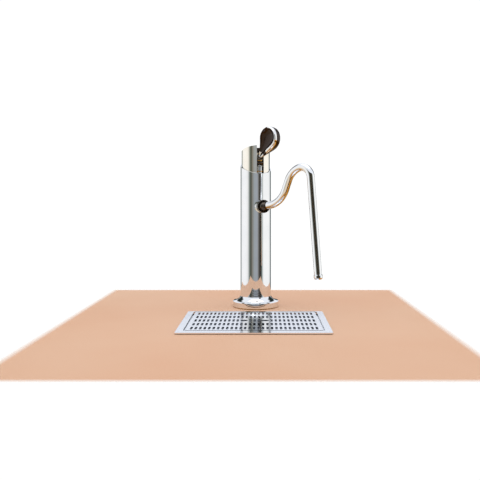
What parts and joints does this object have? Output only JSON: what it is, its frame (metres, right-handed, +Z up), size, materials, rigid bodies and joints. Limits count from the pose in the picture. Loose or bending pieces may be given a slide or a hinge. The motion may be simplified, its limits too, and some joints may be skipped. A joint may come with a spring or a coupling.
{
  "type": "counter-mounted hot water tap",
  "caption": "Counter-mounted steam and hot water tap: round chrome column, slotted head with a dished lever, ball-jointed swan-neck wand and a recessed drip tray with a slotted grate.",
  "frame": {"origin": "on the column's axis, on the worktop's top face, which is the base gasket's underside", "axes": "+Z up along the column, -Y towards the user, +X to the user's right"},
  "size_m": [0.211, 0.2541, 0.412],
  "materials": {
    "chrome": "mirror-polished plating",
    "polished_steel": "polished stainless steel",
    "tray_steel": "fine brushed stainless steel",
    "brass": "turned brass",
    "zinc_steel": "zinc-plated steel",
    "copper_tube": "drawn copper",
    "black_rubber": "matt",
    "seal_rubber": "satin",
    "white_ptfe": "waxy",
    "black_plastic": "moulded"
  },
  "bodies": {
    "stand": {"base_flange": "chrome", "column_tube": "chrome", "head_cap": "chrome", "joint_housing": "chrome", "valve_guide": "polished_steel", "lever_pin": "polished_steel", "joint_nut": "polished_steel", "tray_basin": "tray_steel", "drain_strainer": "tray_steel", "valve_block": "brass", "column_foot": "brass", "guide_ring": "brass", "supply_nut": "brass", "inlet_fitting": "brass", "shank": "brass", "steel_washer": "zinc_steel", "shank_nut": "zinc_steel", "set_screws": "zinc_steel", "return_spring": "zinc_steel", "seat_spring": "zinc_steel", "supply_tube": "copper_tube", "base_gasket": "black_rubber", "rubber_washer": "black_rubber", "tray_gasket": "black_rubber", "drain_gasket": "black_rubber", "stem_seal": "seal_rubber", "joint_seal": "seal_rubber", "front_seat": "white_ptfe", "valve_seat": "white_ptfe", "drain_spigot": "black_plastic", "drain_nut": "black_plastic", "shank_bush": "black_plastic"},
    "lever": {"lever_knuckle": "polished_steel", "lever_collar": "brass", "lever_paddle": "chrome"},
    "valve": {"valve_stem": "polished_steel", "poppet_disc": "white_ptfe"},
    "seat": {"rear_seat": "white_ptfe"},
    "ball": {"swivel_ball": "polished_steel"},
    "wand": {"wand_socket": "chrome", "wand_tube": "chrome", "wand_inner_tube": "white_ptfe", "nozzle": "chrome", "nozzle_seal": "seal_rubber"},
    "grate": {"drip_grate": "tray_steel", "grate_pads": "black_rubber"}
  },
  "joints": [
    {"name": "lever_tilt", "type": "hinge", "parent": "stand", "child": "lever", "pos_m": [0.00554, -0.01522, 0.2395], "axis": [0.9397, 0.342, 0], "range_deg": [0, 45]},
    {"name": "valve_lift", "type": "slide", "parent": "stand", "child": "valve", "axis": [0, 0, -1], "range_m": [0, 0.0016], "deforming": ["return_spring"]},
    {"name": "wand_roll", "type": "hinge", "parent": "stand", "child": "seat", "pos_m": [0.01265, -0.03477, 0.1675], "axis": [0.342, -0.9397, 0], "range_deg": [-20, 20]},
    {"name": "wand_pan", "type": "hinge", "parent": "seat", "child": "ball", "pos_m": [0.01265, -0.03477, 0.1675], "axis": [0, 0, 1], "range_deg": [-60, 5]},
    {"name": "wand_spin", "type": "hinge", "parent": "ball", "child": "wand", "pos_m": [0.01265, -0.03477, 0.1675], "axis": [0.7586, -0.6365, 0.1392], "range_deg": [-15, 15]},
    {"name": "grate_lift", "type": "slide", "parent": "stand", "child": "grate", "axis": [0, 0, 1], "range_m": [0, 0.03]}
  ],
  "couplings": [
    {"joint": "valve_lift", "follows": "lever_tilt", "m_per_rad": 0.001909}
  ]
}
